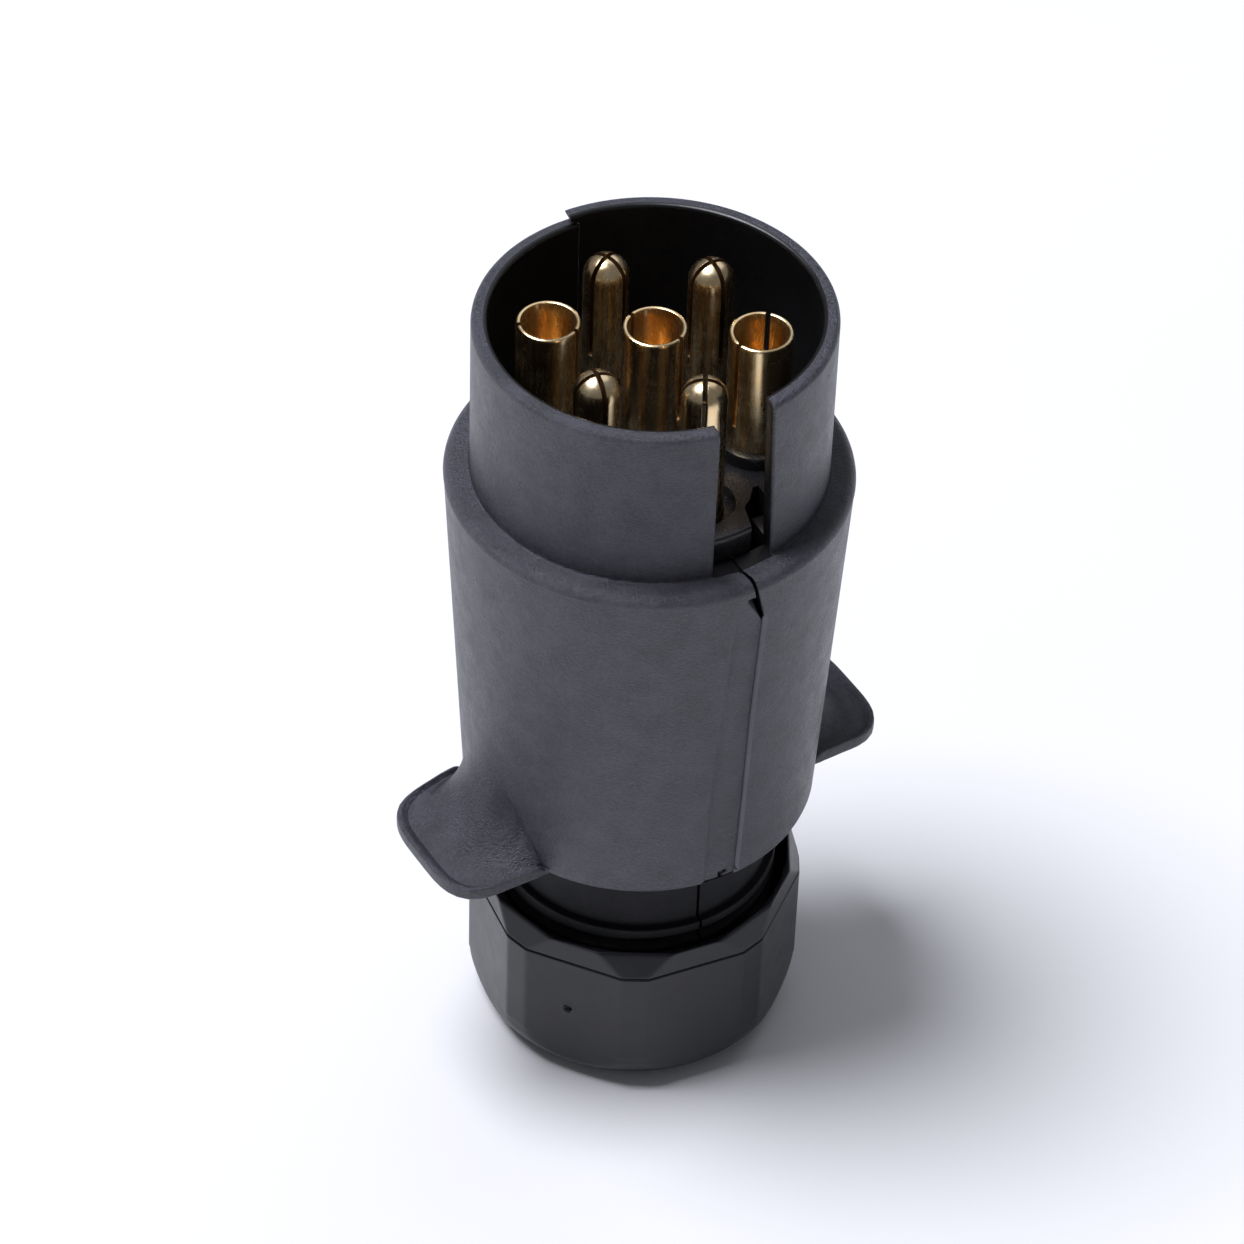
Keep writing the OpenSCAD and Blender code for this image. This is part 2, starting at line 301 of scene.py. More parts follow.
housing_mat = plastic("housing_black", (0.0120, 0.0122, 0.0190), (0.0460, 0.0466, 0.0660), (0.28, 0.46), 3600, 0.00030, 0.80)
inside_mat = plastic("housing_inside", (0.0045, 0.0045, 0.0052), (0.0075, 0.0075, 0.0086), (0.26, 0.38), 6000, 0.000010, 0.45)
neck_mat = plastic("housing_neck", (0.0090, 0.0091, 0.0110), (0.0140, 0.0142, 0.0165), (0.50, 0.62), 5200, 0.000020, 0.16)
# painted highlight: a much lighter plastic for the right half's rounded edge beside the front seam, standing in for
# the key light catching that edge
seam_highlight_mat = plastic("housing_seam_highlight", (0.0700, 0.0705, 0.0860), (0.0960, 0.0965, 0.1140), (0.36, 0.50), 4800, 0.000040, 0.6)
nut_mat = plastic("nut_black", (0.0085, 0.0087, 0.0115), (0.0130, 0.0133, 0.0170), (0.28, 0.38), 6800, 0.000014, 0.42)
carrier_mat = plastic("carrier_black", (0.0070, 0.0070, 0.0080), (0.0120, 0.0120, 0.0135), (0.18, 0.34), 5200, 0.000020, 0.5)


def metal(name, lo, hi, rough, turn, depth):
    """Turned and plated metal: fine tool rings round the axis, thin discolouring, soft scratches."""
    n = Nodes(name)
    stain = n.noise(340, 4.0, 0.6)
    n.to(n.ramp(stain, [(0.34, lo), (0.66, hi)]), "Base Color")
    rings = n.noise(1.0, 2.0, 0.6, n.squeeze(160, 160, turn))
    streak = n.noise(1.0, 2.0, 0.5, n.squeeze(2600, 2600, 120))
    n.to(n.span(n.math("ADD", stain, streak), rough[0], rough[1], 0.7, 1.3), "Roughness")
    nb = n.bump(rings, 0.5, depth)
    n.to(n.bump(streak, 0.25, depth * 0.6, nb), "Normal")
    n.put(Metallic=1.0)
    return n.m


pin_mat = metal("pin_brass", (0.89, 0.63, 0.33), (0.95, 0.78, 0.50), (0.20, 0.34), 7000, 0.000004)
brass_mat = metal("contact_brass", (0.89, 0.62, 0.31), (0.95, 0.76, 0.46), (0.19, 0.32), 7000, 0.000004)
# painted shade: dark brown brass for the spring slot walls, standing in for the shade inside the narrow slots
slot_shade_mat = metal("slot_painted_shade", (0.16, 0.085, 0.035), (0.26, 0.15, 0.065), (0.45, 0.60), 7000, 0.000004)
steel_mat = metal("zinc_steel", (0.58, 0.59, 0.61), (0.70, 0.71, 0.74), (0.22, 0.36), 5000, 0.000004)

rub = Nodes("seal_rubber")
rub.to(rub.ramp(rub.noise(500, 3.0), [(0.3, (0.014, 0.014, 0.014)), (0.7, (0.026, 0.026, 0.027))]), "Base Color")
rub.to(rub.span(rub.noise(900, 2.0), 0.62, 0.78), "Roughness")
rub.to(rub.bump(rub.noise(3000, 2.0), 0.4, 0.00002), "Normal")
rubber_mat = rub.m

# ---------------------------------------------------------------- main dimensions, millimetres
SLEEVE_R, SLEEVE_IN, RIM_R, RIM_L = 20.75, 18.85, 108.0, 106.6
LEDGE_Z, LEDGE_R, BODY_Z, BODY_R = 85.4, 23.8, 35.7, 21.2
SLOPE = (LEDGE_R - BODY_R) / (LEDGE_Z - BODY_Z)
NECK_R, THREAD_R, STEP_Z = 16.3, 17.25, 25.6


def body_at(z):
    return BODY_R + SLOPE * (np.asarray(z, float) - BODY_Z)


# ear plan: reach from the axis against the angle from the ear's own axis, degrees
EAR_TURN, EAR_DROOP = 3.8, 0.9
EAR_PLAN = np.array([(16, 10.6), (18.2, 10.3), (20.6, 10.0), (23.6, 9.7), (26.0, 9.4), (27.4, 9.0), (28.6, 8.3), (29.5, 7.3),
                     (30.1, 6.1), (30.4, 4.9), (30.56, 3.5), (30.6, 1.7), (30.6, 0)])
_ang = np.degrees(np.arctan2(EAR_PLAN[:, 1], EAR_PLAN[:, 0]))[::-1]
_rad = np.hypot(EAR_PLAN[:, 0], EAR_PLAN[:, 1])[::-1]


def ear_reach(phi):
    p = np.abs(phi)
    return np.where(p < _ang[-1], np.interp(p, _ang, _rad), 0)


def ear_rise(phi):
    return np.interp(np.abs(phi), [0, 5, 8, 12, 16, 20, 24, 27, 31, 40], [11.4, 11.2, 10.6, 9.3, 7.6, 5.3, 2.5, 1.15, 0.3, 0.0])


def thread(theta, z, pitch=3.0):
    """Height, 0 to 1, of a rounded trapezoid thread at world angle theta (radians) and height z."""
    ph = np.mod(z / pitch - theta / (2 * math.pi), 1.0)
    d = np.abs(ph - 0.5) * 2
    return smooth(1 - d, 0.28, 0.62)


def half_shell(side):
    """One half of the housing. side is +1 for the right half and -1 for the left one.
    psi is the angle from the keyway side towards this half's ear; the ear is at psi = 90."""
    right = side > 0
    rz = RIM_R if right else RIM_L
    step = 0.13 if not right else 0.5
    near = [0, 0.03, 0.07, 0.12, 0.18, 0.25, 0.34, 0.46]
    near += list(np.arange(0.6, 6.2, step))
    near = np.degrees(np.array(near) / 21.0)
    nom = np.concatenate([near, np.arange(near[-1] + 1.0, 54.0, 1.25), np.arange(54.5, 82, 0.42), np.arange(82.4, 98, 1.2),
                          np.arange(98.3, 125.8, 0.42), np.arange(126.4, 176.8, 1.5),
                          180 - np.degrees(np.array([0.9, 0.6, 0.38, 0.22, 0.12, 0.05, 0]) / 21.0)])
    J = len(nom)
    wf = 1 - smooth(nom, 17, 45)
    wb = smooth(nom, 150, 176)
    phi = nom - 90.0 - side * EAR_TURN

    R0 = np.maximum(ear_reach(phi), BODY_R)
    ext = R0 - BODY_R
    full = smooth(ext, 0.15, 1.6)
    rise = ear_rise(phi)

    rows_o, rows_i, seam_x, edge_r, back_x = [], [], [], [], []

    def row(ro, zo, ri, zi, xs, er=0.15, bx=0.06):
        rows_o.append((np.broadcast_to(np.asarray(ro, float), (J,)).copy(), np.broadcast_to(np.asarray(zo, float), (J,)).copy()))
        rows_i.append((np.broadcast_to(np.asarray(ri, float), (J,)).copy(), np.broadcast_to(np.asarray(zi, float), (J,)).copy()))
        seam_x.append(xs)
        edge_r.append(er)
        back_x.append(bx)

    # seam plane at the front: position x and half its gap
    def seam(z):
        return float(np.interp(z, [35.2, 36.2, 48.5, 63, 68.5, 73.3, 78.4, 79.4, 83.3, 84.5, 85.4], [2.05, 2.05, 2.17, 2.19, 2.34, 2.48, 2.62, 2.52, 1.55, 1.25, 1.12]))

    def gap(z):
        return float(np.interp(z, [0, 35.4, 35.5, 78.6, 79.4, 90], [0.15, 0.15, 0.012, 0.012, 0.20, 0.20]))

    def front(x, z):
        """The seam as this half sees it, in coordinates where its own ear is at +X."""
        g = gap(z)
        return (x + g) if right else -(x - g)

    # neck with its thread
    zs = list(np.arange(6.6, 25.0, 0.25))
    row(16.5, 5.6, 13.9, 5.6, front(0, 5))
    row(16.9, 5.9, 13.9, 5.9, front(0, 5))
    for z in zs:
        ri = 13.9 if z < 16 else 11.5
        row(np.nan, z, ri, z, front(0, 5))
    thread_rows = (2, len(rows_o))
    row(THREAD_R - 0.02, 25.05, 11.5, 25.0, front(0, 5))
    for rr, zz in [(THREAD_R - 0.03, 25.2), (THREAD_R - 0.14, 25.3), (NECK_R + 0.10, 25.34), (NECK_R + 0.03, 25.38), (NECK_R, 25.5)]:
        row(rr, zz, 11.5, zz, front(0, 5))
    for z in np.linspace(26.0, 35.1, 8):
        row(NECK_R, z, 11.5, z, front(0, 5))
    row(NECK_R + 0.04, 35.4, 11.5, 35.6, front(0, 5))
    row(NECK_R + 0.16, 35.62, 11.5, 36.3, front(0, 5))
    row(NECK_R + 0.40, BODY_Z, 11.5, 37.2, front(0, 5))
    row(17.2, BODY_Z, 11.5, 37.8, front(0, 5))
    row(17.4, BODY_Z, 11.5, 38.6, front(seam(36), 36.2))
    # flat underside, out to the edge
    e0 = 1.0 * (1 - full) + 0.45 * full
    for t in np.linspace(0.12, 1, 7):
        row(17.4 + (R0 - e0 - 17.4) * t, BODY_Z, 11.8 + 7.0 * t, 38.6, front(seam(36), 36.2))
    # edge: plain quarter round, or the ear's thin rim
    plain = arc(0, 0, 1.0, -90, 0, 13)
    prof = [(-0.45 + 0.45 * math.cos(math.radians(q)), 0.45 + 0.45 * math.sin(math.radians(q))) for q in (-72, -54, -36, -18, 0)]
    prof += [(0, 0.85), (0, 1.15)]
    prof += [(-0.30 + 0.30 * math.cos(math.radians(q)), 1.45 + 0.30 * math.sin(math.radians(q))) for q in (30, 60, 90)]
    prof += [(-0.62, 1.74), (-0.95, 1.52), (-1.35, 1.24)]
    z_h = BODY_Z + 1.2 + np.maximum(rise, 0.02) * full + 0.3 * (1 - full)
    for kk, (dx, dz) in enumerate(prof):
        px, pz = plain[kk]
        ro = (R0 - 1.0 + px) * (1 - full) + (R0 + dx) * full
        zo = (BODY_Z + 1.0 + pz) * (1 - full) + (BODY_Z + dz) * full
        row(ro, zo, 18.9 + 0.2 * kk / 12, 38.6 + 0.5 * kk / 12, front(seam(37), 37))
    # shelf and fillet up to the wall
    wall0 = body_at(BODY_Z + 1.2)
    wide = np.maximum(ext - 1.7, 0.0)
    fw = np.minimum(wide, 8.0)
    r_f = wall0 + fw
    start = np.maximum(R0 - 1.35, r_f)
    zp0 = BODY_Z + 1.0
    zp1 = z_h
    nS, nF = 5, 24
    tp = np.linspace(0, 1, nS + nF + 1)[1:]
    for s in range(nS):
        t = (s + 1) / nS
        re = start + (r_f - start) * t
        ze = BODY_Z + 1.24 - 0.06 * math.sin(math.pi * t)
        zp = zp0 + (zp1 - zp0) * tp[s]
        ro = body_at(zp) * (1 - full) + re * full
        zo = zp * (1 - full) + ze * full
        row(ro, zo, 19.1, 39.1 + 1.5 * (s + 1) / nS, front(seam(38), 38))
    cut = np.interp(-phi, [-40, -1, 0, 7, 12, 17, 22, 27, 31], [0, 0, 0, 2, 14, 26, 30, 26, 0])
    z_top = BODY_Z + 1.24 + np.maximum(rise, 0.02)
    for s in range(nF):
        t = ((s + 1) / nF)
        t = 1 - (1 - t) ** 1.25
        aend = np.radians(90 + cut)
        ang = aend * t
        rw = body_at(z_top)
        w2 = (r_f - rw) / np.sin(aend)
        h2 = rise / (1 - np.cos(aend))
        re = r_f - w2 * np.sin(ang)
        ze = BODY_Z + 1.24 + h2 * (1 - np.cos(ang))
        zp = zp0 + (zp1 - zp0) * tp[nS + s]
        ro = body_at(zp) * (1 - full) + re * full
        zo = zp * (1 - full) + ze * full
        zi = 40.6 + 9.0 * (s + 1) / nF
        row(ro, zo, body_at(zi) - 2.2, zi, front(seam(float(zi)), float(zi)))
    # the wall above the fillet
    z_now = z_top * full + z_h * (1 - full)
    targets = [0.012, 0.03, 0.07, 0.13, 0.21, 0.32, 0.45, 0.6, 0.78, 1.0]
    for t in targets:
        z = z_now + (52.0 - z_now) * t
        zi = 49.6 + 2.4 * t
        row(body_at(z), z, body_at(zi) - 2.2, zi, None)
        seam_x[-1] = np.array([front(seam(float(q)), float(q)) for q in z])
    for z in list(np.arange(53.2, 77.0, 1.2)) + list(np.arange(77.2, 84.0, 0.17 if not right else 0.6)):
        row(body_at(z), z, (body_at(z) - 2.2) if z < 81.8 else SLEEVE_IN, z, front(seam(z), z))
    top_c = (LEDGE_R - 1.3, LEDGE_Z - 1.3)
    for rr, zz in arc(*top_c, 1.3, 6, 90, 11):
        row(rr, zz, SLEEVE_IN, 84.1 + 0.9 * (zz - 84.1) / 1.3, front(seam(zz), zz))
    for rr, xs in [(22.2, 1.02), (21.8, 0.92), (21.4, 0.80), (21.12, 0.70), (21.02, 0.66)]:
        row(rr, LEDGE_Z, SLEEVE_IN, 85.05 + 0.3 * (22.5 - rr) / 1.5, front(xs, LEDGE_Z), 0.12)
    # sleeve: its front end is the keyway's edge

    def key(z):
        kl = -float(np.interp(z, [85.4, 108], [-2.66, -2.53]))
        kr = float(np.interp(z, [85.4, 108], [5.0, 4.15]))
        return kr if right else kl

    def past(z):
        """How far this half's back edge stands off the seam plane; above the lower rim the right half runs past it."""
        return 0.06 - (1.25 * float(np.clip((z - 106.68) / 1.2, 0, 1)) if right and z > 106.68 else 0.0)
    row(20.99, LEDGE_Z + 0.002, SLEEVE_IN, LEDGE_Z, key(LEDGE_Z), 0.3)
    for rr, zz in [(20.90, 85.43), (20.82, 85.52), (20.77, 85.66)]:
        row(rr, zz, SLEEVE_IN, zz, key(zz), 0.3)
    for z in (list(np.linspace(86.2, 106.3, 18)) + [106.64, 106.7, 107.0] if right else np.linspace(86.2, rz - 1.0, 19)):
        row(SLEEVE_R, z, SLEEVE_IN, z, key(z), 0.3, past(z))
    for rr, zz in arc(SLEEVE_R - 0.75, rz - 0.75, 0.75, 0, 90, 8):
        zi = min(zz, rz - 0.45)
        row(rr, zz, SLEEVE_IN, rz - 1.0 + 0.55 * (zz - (rz - 0.75)) / 0.75, key(rz), 0.3, past(zz))
    for (rr, zz), (ri, zi) in zip([(19.75, rz), (19.5, rz), (19.35, rz - 0.004)], [(18.87, rz - 0.32), (18.93, rz - 0.2), (19.04, rz - 0.09)]):
        row(rr, zz, ri, zi, key(rz), 0.3, past(rz))

    Kn = len(rows_o)
    RO = np.array([q[0] for q in rows_o]); ZO = np.array([q[1] for q in rows_o])
    RI = np.array([q[0] for q in rows_i]); ZI = np.array([q[1] for q in rows_i])
    XS = np.array([np.broadcast_to(np.asarray(q, float), (J,)) for q in seam_x])
    ER = np.array(edge_r)[:, None]
    BX = np.array(back_x)[:, None]
    RO_s = np.where(np.isnan(RO), 17.0, RO)

    def angles(Rr):
        p0 = np.degrees(np.arcsin(np.clip(XS / Rr, -0.6, 0.6)))
        p1 = 180 - np.degrees(np.arcsin(BX / Rr))
        return nom[None, :] + p0 * wf[None, :] + (p1 - 180) * wb[None, :]

    PO, PI_ = np.radians(angles(RO_s)), np.radians(angles(RI))
    # helical thread on the neck
    a0, a1 = thread_rows
    th = np.arctan2(-np.cos(PO[a0:a1]), side * np.sin(PO[a0:a1]))
    fade = smooth(ZO[a0:a1], 6.4, 7.6)
    RO[a0:a1] = NECK_R + 0.05 + (THREAD_R - NECK_R - 0.05) * thread(th, ZO[a0:a1]) * fade
    RO[a0:a1] = np.maximum(RO[a0:a1], np.where(ZO[a0:a1] > 23.6, NECK_R + (THREAD_R - NECK_R) * smooth(ZO[a0:a1], 23.5, 24.0), 0))
    # outline normals in the (r, z) plane for the rounding at the ends
    dR, dZ = np.gradient(RO, axis=0), np.gradient(ZO, axis=0)
    ln = np.hypot(dR, dZ) + 1e-9
    NR, NZ = dZ / ln, -dR / ln
    s_f = np.radians(nom)[None, :] * 21.0
    s_b = np.radians(180 - nom)[None, :] * 21.0

    def inset(s, e):
        q = np.clip(e - s, 0, None)
        return e - np.sqrt(np.clip(e * e - q * q, 0, None))
    e_f = ER.copy()
    wallrows = ((np.nanmax(ZO, axis=1) > 36.9) & (np.nanmin(ZO, axis=1) < 79.4) & (np.arange(Kn) > a1 + 10))[:, None]
    e_f = np.where(wallrows, 0.45 if right else 0.03, e_f)
    ins = inset(s_f, e_f) + inset(s_b, 0.12)
    RO2 = RO - NR * ins
    ZO2 = ZO - NZ * ins
    # the ears hang a little towards their tips
    ZO2 = ZO2 - EAR_DROOP * smooth(RO2, BODY_R + 0.6, 30.5) * ((ZO2 < 50) & (RO2 > BODY_R + 0.5)) * (full > 0)
    # true x on the skin, for the band, the pry notch and the small notch of the left half
    if not right:
        X = -RO2 * np.sin(PO)
        Y = -RO2 * np.cos(PO)
        Z = ZO2
        wb_ = smooth(np.abs(NR), 0.05, 0.6)
        isb = (Y < 0) & (np.abs(NR) > 0.05) & (Z > 35.8) & (Z < 84.6) & (np.arange(Kn)[:, None] > a1 + 8)
        xb = np.interp(Z, [41, 52, 64, 76, 84], [-1.78, -1.74, -1.31, -0.80, -0.58])
        band = 0.36 * smooth(X - xb, -0.75, 0.25) * (1 - smooth(Z, 79.0, 83.4)) + 0.07 * np.exp(-((X - xb) / 0.30) ** 2) * (1 - smooth(Z, 80, 84))
        band = band + 0.05 * np.sin(Z * 1.9 + 1.3 * np.sin(Z * 0.7)) * np.exp(-((X - xb - 0.75) / 0.35) ** 2) * smooth(Z, 38, 42) * (1 - smooth(Z, 74, 78))
        # pry notch: a wedge that opens towards the seam
        xl = np.interp(Z, [78.8, 79.8, 81.9, 83.1], [2.6, 1.79, 0.70, 0.09])
        dn = np.clip(X - xl, 0, None)
        notch = np.minimum(1.25, 1.3 * dn) * smooth(Z, 78.6, 79.0) * (1 - smooth(Z, 82.9, 83.3))
        dot = 1.1 * smooth(0.36 + 0.25 * smooth(Z, 36.6, 37.0) - np.abs(X - 0.2 - 0.2 * smooth(Z, 36.6, 37.0)), 0.0, 0.12) * smooth(Z, 35.6, 35.8) * (1 - smooth(Z - 0.3 * np.abs(X - 0.2), 37.0, 37.25))
        RO2 = RO2 - np.where(isb, np.maximum(np.maximum(band, notch), dot) * wb_, 0)
    O = np.stack([side * RO2 * np.sin(PO), -RO2 * np.cos(PO), ZO2], 2)
    I = np.stack([side * RI * np.sin(PI_), -RI * np.cos(PI_), ZI], 2)
    v, q = solid_grid(O, I)
    # finish of each face: 0 grained outside, 1 smooth inside and end faces, 2 neck, 3 painted highlight: a lighter
    # band on the right half's rounded edge beside the front seam, where the key light catches it
    fin = np.zeros(len(q), np.int32)
    nb = (Kn - 1) * (J - 1)
    grid = np.zeros((Kn - 1, J - 1), np.int32)
    zmid = ZO2[:-1, :-1]
    grid[(RO2[:-1, :-1] < 17.5) & (zmid < BODY_Z + 0.1)] = 2
    # painted highlight: on the right half, faces within 0.4 mm of the front seam along the wall rows get the lighter
    # seam material
    if right:
        sm = s_f[:, :-1]
        grid[(np.broadcast_to(sm, grid.shape) < 0.40) & np.broadcast_to(wallrows[:-1], grid.shape)] = 3
    fin[:nb] = grid.ravel()
    fin[nb:] = 1
    return v, q, fin


# ---------------------------------------------------------------- the two half shells
for side, name, node in ((1, "right_shell", "right_half_shell"), (-1, "left_shell", "left_half_shell")):
    v, q, fin = half_shell(side)
    if side < 0:
        q = q[:, ::-1]
    me = quads_mesh(name, v, q)
    if side > 0:
        rib = bevelled(box_mesh("rib", (5.05, -18.95, 81.0), (6.65, -15.0, 86.8)), 0.15, 2)
        import bmesh
        bm = bmesh.new()
        bm.from_mesh(me)
        bm.from_mesh(rib)
        bm.to_mesh(me)
        bm.free()
    o = add(name, me, housing_mat, "housing", (node,), 32)
    # inside, neck and the painted seam highlight, as material slots 1 to 3
    for mt in (inside_mat, neck_mat, seam_highlight_mat):
        o.data.materials.append(mt)
    idx_ = np.zeros(len(o.data.polygons), np.int32)
    idx_[:len(fin)] = fin
    idx_[len(fin):] = 1
    o.data.polygons.foreach_set("material_index", idx_)
    o.data.update()

# ---------------------------------------------------------------- gland nut
def gland_nut():
    H, FLAT, CORN, PH, GZ, RB = 23.2, 19.45, 20.4, 18.0, 20.0, 6.0
    n = 960
    phi = np.arange(n) * 2 * math.pi / n
    zr = np.concatenate([RB - RB * np.cos(np.radians(np.linspace(3, 90, 22))), np.arange(6.5, 11.0, 0.75), np.arange(11.1, 12.9, 0.12), np.arange(13.4, 19.0, 0.8),
                         np.arange(19.2, 20.9, 0.07), np.arange(21.1, 22.8, 0.25), [22.88, 22.96, 23.03, 23.09, 23.14, 23.18, 23.2]])

    def planes(z, soft=0.06):
        d = []
        groove_z = GZ
        for kf in range(8):
            c = math.radians(PH + 22.5 + 45 * kf)
            rr = FLAT if z <= groove_z else FLAT - 0.03 - (z - groove_z) * math.tan(math.radians(1.5))
            d.append(rr / np.clip(np.cos(phi - c), 0.2, None))
        for kf in range(8):
            c = math.radians(PH + 45 * kf)
            rr = CORN if z <= groove_z else CORN - 0.03 - (z - groove_z) * math.tan(math.radians(23.5))
            d.append(rr / np.clip(np.cos(phi - c), 0.2, None))
        d = np.array(d)
        s = soft if z <= groove_z else 0.05
        mn = d.min(0)
        return mn - s * np.log(np.exp(-(d - mn) / s).sum(0))

    rows = []
    for z in zr:
        r = planes(z)
        # rounded bottom
        if z < RB:
            lim = CORN - RB + math.sqrt(max(RB ** 2 - (RB - z) ** 2, 0))
            r = -0.12 * np.log(np.exp(-(r - 18) / 0.12) + math.exp(-(lim - 18) / 0.12)) + 18 if lim > 17 else np.full(n, lim)
        # parting groove under the leaning facets
        r = r - 0.24 * math.exp(-((z - GZ) / 0.13) ** 2)
        # thin, slightly ragged top edge
        if z > 22.8:
            q = (z - 22.8) / 0.4
            r = r - 0.16 * (1 - math.sqrt(max(1 - q * q, 0)))
        rows.append((r, np.full(n, z)))
    # gate mark: a small round dimple on one flat
    # (its centre is at world angle -141 degrees, height 11.9)
    # across the top, down the mouth and the threaded bore, over the floor and out through the cable hole
    def flat_row(r, z):
        rows.append((np.full(n, float(r)), np.full(n, float(z))))
    top_r = rows[-1][0]
    flash = 0.05 * np.sin(phi * 37 + 1.1 * np.sin(phi * 11)) + 0.04 * np.sin(phi * 83 + 2.0) + 0.03 * np.sin(phi * 149)
    rows.append((np.minimum(top_r * 0.55 + 18.78 * 0.45, top_r - 0.05), np.full(n, H)))
    rows.append((18.74 + flash * 0.4, H - 0.02 + 0 * phi))
    rows.append((18.70 + flash * 0.8, H - 0.14 + flash * 0.5))
    rows.append((18.70 + flash * 0.5, H - 0.30 + flash * 0.5))
    flat_row(18.7, H - 0.55)
    flat_row(18.7, 21.3)
    flat_row(18.66, 21.0)
    flat_row(18.45, 20.75)
    flat_row(18.22, 20.6)
    for z in np.arange(20.4, 4.3, -0.25):
        ridge = thread(phi, np.full(n, z) + 1.5) * smooth(z, 4.4, 5.6) * (1 - smooth(z, 18.4, 20.0))
        rows.append((18.18 - 0.62 * ridge, np.full(n, z)))
    for rr, zz in [(18.0, 3.7), (17.6, 3.25), (17.2, 3.2), (14.0, 3.2), (9.4, 3.2), (8.9, 3.12), (8.65, 2.85), (8.6, 2.4), (8.6, 0.7),
                   (8.72, 0.28), (9.0, 0.03), (9.3, 0.0), (11.5, 0.0), (13.8, 0.0)]:
        flat_row(rr, zz)
    Rr = np.array([q[0] for q in rows]); Zr = np.array([q[1] for q in rows])
    c0 = math.radians(-141.4)
    dphi = (phi - c0 + math.pi) % (2 * math.pi) - math.pi
    for i in range(len(zr)):
        d = np.hypot(dphi * 19.4, (zr[i] - 11.95))
        Rr[i] -= 0.45 * (1 - smooth(d, 0.30, 0.62)) - 0.05 * np.exp(-((d - 0.8) / 0.15) ** 2)
    K_ = len(rows)
    v = np.stack([Rr * np.cos(phi), Rr * np.sin(phi), Zr], 2).reshape(-1, 3)
    idx = np.arange(K_ * n).reshape(K_, n)
    nx = np.roll(idx, -1, axis=1)
    q = []
    for a_ in range(K_):
        b_ = (a_ + 1) % K_
        q.append(np.stack([idx[a_], nx[a_], nx[b_], idx[b_]], 1))
    return quads_mesh("nut", v, np.concatenate(q))


nut = add("nut", outward(gland_nut()), nut_mat, "gland", ("gland_nut",), 30)

# ---------------------------------------------------------------- contacts
PITCH = 12.0


def place(me, x, y, rot=0.0):
    me.transform(Matrix.Translation((x * MM, y * MM, 0)) @ Matrix.Rotation(math.radians(rot), 4, "Z"))
    return me


def rev(profile, n=96):
    v, q, t = lathe(profile, n)
    return outward(quads_mesh("rev", v, q, t))


def paint_slot_shade(o, x, y, slots):
    """Paints the walls of the spring slots dark brown: painted shade standing in for the shade inside the narrow
    slots; slots lists the slot angles in degrees.
    """
    me = o.data
    me.materials.append(slot_shade_mat)
    n = len(me.polygons)
    c = np.zeros(n * 3); nn = np.zeros(n * 3)
    me.polygons.foreach_get("center", c)
    me.polygons.foreach_get("normal", nn)
    c = c.reshape(-1, 3) / MM - np.array([x, y, 0]); nn = nn.reshape(-1, 3)
    idx = np.zeros(n, np.int32)
    # painted shade: slot wall faces above z 92 get the dark slot material
    for s_ in slots:
        t = math.radians(s_)
        side_ = -c[:, 0] * math.sin(t) + c[:, 1] * math.cos(t)
        flat = np.abs(-nn[:, 0] * math.sin(t) + nn[:, 1] * math.cos(t))
        idx[(np.abs(side_) < 0.36) & (flat > 0.85) & (c[:, 2] > 92)] = 1
    me.polygons.foreach_set("material_index", idx)
    me.update()


def barrel_outline():
    return [(2.2, 66.8), (2.2, 57.25)] + arc(2.45, 57.25, 0.25, 180, 270, 3) + arc(3.3, 57.3, 0.3, -90, 0, 4) + [(3.6, 72.8), (3.4, 73.0)]


def pin_mesh(slots):
    r, tip = 2.66, 106.9
    prof = [(0, 66.8)] + barrel_outline() + [(r, 73.0), (r, 87.4), (2.75, 87.45), (2.8, 87.5), (2.8, 88.0), (2.75, 88.1), (r, 88.2), (r, 89.5)]
    prof += [(r, z) for z in (92, 96, 100, 103)]
    prof += [(r * math.cos(t), tip - r + r * math.sin(t)) for t in np.radians(np.linspace(0, 86, 20))] + [(0, tip)]
    me = rev(prof, 96)
    cuts = [box_mesh("s", (-4, -0.29, tip - 13), (4, 0.29, tip + 2), s) for s in slots]
    me = combine(me, cuts)
    return bevelled(me, 0.07, 2, 50)


def tube_mesh(slots):
    R_, r, top = 3.7, 3.15, 105.6
    prof = [(0, 66.8)] + barrel_outline() + [(R_ - 0.1, 73.0), (R_, 73.1)]
    prof += [(R_, z) for z in (80, 86, 90, 94, 98, 102, 104.6)]
    prof += [(R_ - 0.02, 105.1), (R_ - 0.05, 105.38), (R_ - 0.13, 105.53), (R_ - 0.25, top), (r + 0.16, top), (r + 0.05, top - 0.06), (r, top - 0.18)]
    prof += [(r, z) for z in (104.4, 100, 96, 92)] + [(r, 90.9), (r - 0.2, 90.65), (r - 0.6, 90.6), (1.2, 90.5), (0, 90.1)]
    me = rev(prof, 128)
    cuts = [box_mesh("s", (1.6, -0.29, top - 12), (5, 0.29, top + 2), s) for s in slots]
    me = combine(me, cuts)
    return bevelled(me, 0.05, 2, 55)


